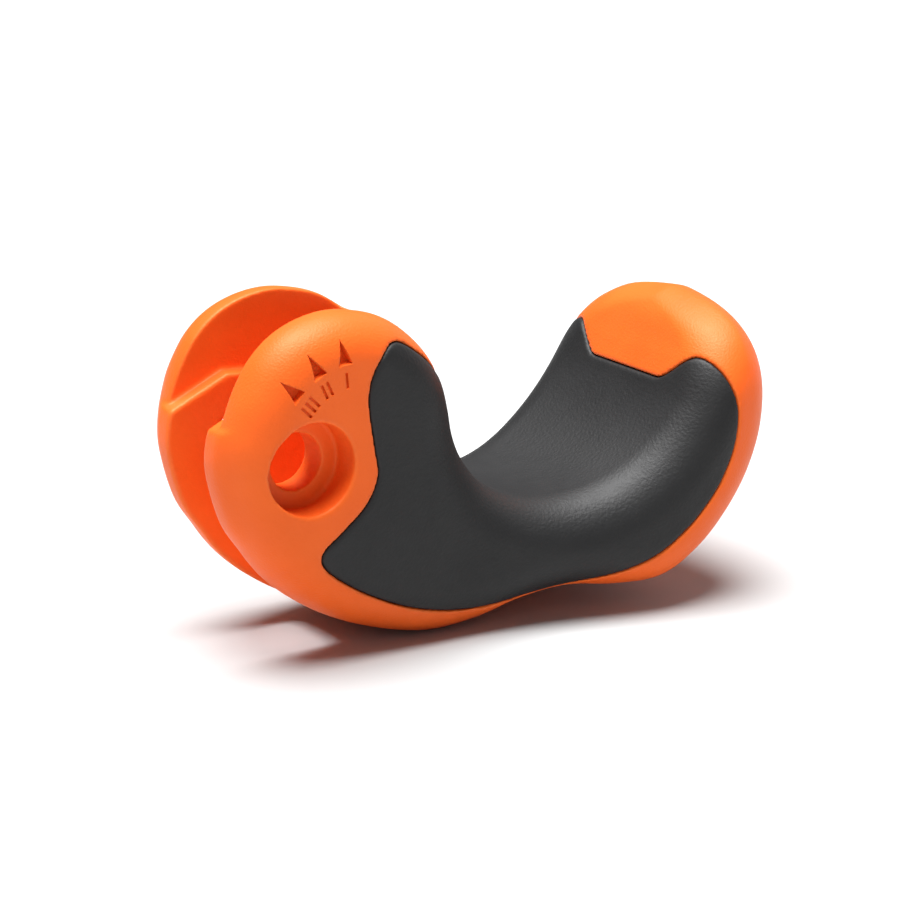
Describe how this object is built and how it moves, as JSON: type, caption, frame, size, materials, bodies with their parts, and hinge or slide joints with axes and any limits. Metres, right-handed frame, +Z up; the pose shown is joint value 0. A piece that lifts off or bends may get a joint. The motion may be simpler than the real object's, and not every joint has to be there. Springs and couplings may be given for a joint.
{
  "type": "hand rest",
  "caption": "Adjustable forked hand rest with a soft covered saddle and an upturned horn, clamped across a tool's shaft by a cross screw.",
  "frame": {"origin": "on the clamp screw's axis, half way between the two cheeks", "axes": "+X from the fork to the horn, +Y from the near, counterbored cheek to the far cheek with the nut, +Z up"},
  "size_m": [0.0737, 0.0344, 0.0406],
  "materials": {
    "orange_plastic": "fine moulded grain",
    "black_rubber": "fine matte grain",
    "nut_steel": "zinc plated"
  },
  "bodies": {
    "root": {"hand_rest_core": "orange_plastic", "soft_grip": "black_rubber", "captive_nut": "nut_steel"}
  },
  "joints": []
}
